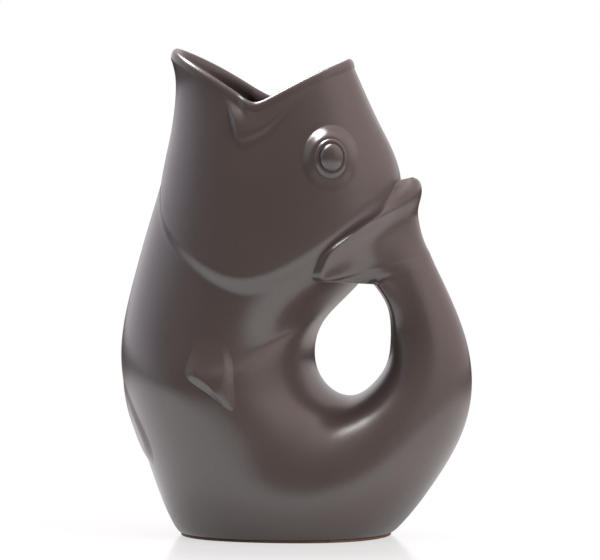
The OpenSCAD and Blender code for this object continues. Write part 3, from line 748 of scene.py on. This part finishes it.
def make_floor_material():
    material = bpy.data.materials.new("white_floor")
    tree = cleared_tree(material)
    path = add(tree, "ShaderNodeLightPath", {}).outputs
    place = add(tree, "ShaderNodeTexCoord", {}).outputs["Object"]
    distance = measured(tree, "LENGTH", {0: place})
    matt = add(tree, "ShaderNodeBsdfDiffuse", {"Color": FLOOR_COLOUR}).outputs["BSDF"]
    gloss = add(tree, "ShaderNodeBsdfGlossy", {"Color": WHITE, "Roughness": FLOOR_ROUGHNESS}).outputs["BSDF"]
    pools = []
    for middle, colour in POOLS:
        away = measured(tree, "DISTANCE", {0: place, 1: middle})
        strength = graded(tree, away, (POOL_RADIUS, 0.0), (0.0, 1.0), "SMOOTHERSTEP")
        pools.append(scaled(tree, colour, strength))
    # Painted shadow: the mirrored pools of light are darkened close to the foot, standing in for the jug's
    # shadow on the floor
    painted_shadow = graded(tree, distance, PAINTED_SHADOW_SPAN, PAINTED_SHADOW_SHARE, "SMOOTHSTEP")
    mirrored = scaled(tree, summed(tree, pools), painted_shadow)
    mirror = add(tree, "ShaderNodeEmission", {"Color": mirrored, "Strength": 1.0}).outputs["Emission"]
    glow = add(tree, "ShaderNodeEmission", {"Color": WHITE, "Strength": 1.0}).outputs["Emission"]
    fade = graded(tree, distance, FADE_SPAN, FADE_SHARE)
    seen = reckoned(tree, "MULTIPLY", fade, path["Is Camera Ray"])
    share = reckoned(tree, "MAXIMUM", seen, path["Is Glossy Ray"])
    bright = mixed(tree, path["Is Camera Ray"], mirror, glow)
    surface = mixed(tree, share, mixed(tree, FLOOR_GLOSS, matt, gloss), bright)
    add(tree, "ShaderNodeOutputMaterial", {"Surface": surface})
    return material


floor_mesh = bpy.data.meshes.new("floor")
floor_mesh.from_pydata(FLOOR_CORNERS, [], [(0, 1, 2, 3)])
floor_mesh.materials.append(make_floor_material())
floor = placed("floor", floor_mesh)

# The room: white to the camera, and to the jug soft light from a few directions. Each row
# gives a direction's azimuth, its elevation, and the light's colour. The tail is at azimuth 0,
# 90 is behind the jug, and the belly faces 180.
SKY = [
    (0, 12, (0.35, 0.32, 0.32)),
    (45, 12, (0.50, 0.42, 0.44)),
    (90, 4, (0.75, 0.75, 0.75)),
    (135, 12, (1.21, 1.22, 1.30)),
    (180, 12, (0.89, 0.97, 1.14)),
    (0, 50, (0.83, 0.64, 0.66)),
    (72, 50, (0.16, 0.13, 0.10)),
    (144, 50, (0.48, 0.20, 0.10)),
    (0, 88, (1.40, 1.26, 1.22)),
]
SKY_FOCUS = 6.0


def direction(azimuth, elevation):
    """Unit vector by azimuth from +X towards +Y and elevation, both in radians"""
    level = math.cos(elevation)
    return math.cos(azimuth) * level, math.sin(azimuth) * level, math.sin(elevation)


def make_world():
    world = bpy.data.worlds.new("studio")
    tree = cleared_tree(world)
    path = add(tree, "ShaderNodeLightPath", {}).outputs
    place = add(tree, "ShaderNodeTexCoord", {}).outputs["Generated"]
    lights = []
    for azimuth, elevation, colour in SKY:
        towards = direction(math.radians(azimuth), math.radians(elevation))
        lined_up = measured(tree, "DOT_PRODUCT", {0: place, 1: towards})
        focus = reckoned(tree, "MULTIPLY_ADD", lined_up, SKY_FOCUS, -SKY_FOCUS)
        lights.append(scaled(tree, colour, reckoned(tree, "EXPONENT", focus)))
    ambient = add(tree, "ShaderNodeBackground", {"Color": summed(tree, lights), "Strength": 1.0})
    white = add(tree, "ShaderNodeBackground", {"Color": WHITE, "Strength": 1.0})
    seen = reckoned(tree, "MAXIMUM", path["Is Camera Ray"], path["Is Transmission Ray"])
    surface = mixed(tree, seen, ambient.outputs["Background"], white.outputs["Background"])
    add(tree, "ShaderNodeOutputWorld", {"Surface": surface})
    return world


bpy.context.scene.world = make_world()

# Lamps: a key light on the right that the glaze doesn't mirror, and one overhead that it only
# mirrors
LAMP_AIM = (0, 0, 0.13)
KEY_PLACE, KEY_SIZE, KEY_POWER = (1.6, -0.9, 0.9), (1.2, 1.2), 30
OVERHEAD_PLACE, OVERHEAD_SIZE, OVERHEAD_POWER = (-0.38, 0.12, 1.1), (0.75, 0.4), 27


def turned_from(back):
    return (-back).to_track_quat("-Z", "Y").to_euler()


def softbox(name, place, size, power):
    lamp = bpy.data.lights.new(name, "AREA")
    lamp.shape = "RECTANGLE"
    lamp.size, lamp.size_y = size
    lamp.energy = power
    holder = placed(name, lamp)
    holder.location = place
    holder.rotation_euler = turned_from(Vector(place) - Vector(LAMP_AIM))
    return holder


key = softbox("key_right", KEY_PLACE, KEY_SIZE, KEY_POWER)
key.visible_glossy = False
crown = softbox("overhead", OVERHEAD_PLACE, OVERHEAD_SIZE, OVERHEAD_POWER)
crown.visible_diffuse = False

# Camera at the photograph's angle, and at its scale in millimetres to a pixel at the jug
CAMERA_TURN, CAMERA_RISE, CAMERA_DISTANCE = math.radians(8.5), math.radians(4.0), 4.8
AIM_ALONG, AIM_HEIGHT = 0.0074, 0.133
PHOTO_SCALE, PHOTO_WIDTH, SENSOR_WIDTH = 0.521, 600, 36
CLIP_END = 50

lens = bpy.data.cameras.new("camera")
lens.lens = CAMERA_DISTANCE * METRE / PHOTO_SCALE * SENSOR_WIDTH / PHOTO_WIDTH
lens.sensor_width = SENSOR_WIDTH
lens.clip_end = CLIP_END
camera = placed("camera", lens)
back = Vector(direction(CAMERA_TURN - math.pi / 2, CAMERA_RISE))
camera.location = Vector((AIM_ALONG - CENTRE / METRE, 0, AIM_HEIGHT)) + back * CAMERA_DISTANCE
camera.rotation_euler = turned_from(back)
bpy.context.scene.camera = camera
bpy.context.scene.view_settings.view_transform = "Standard"
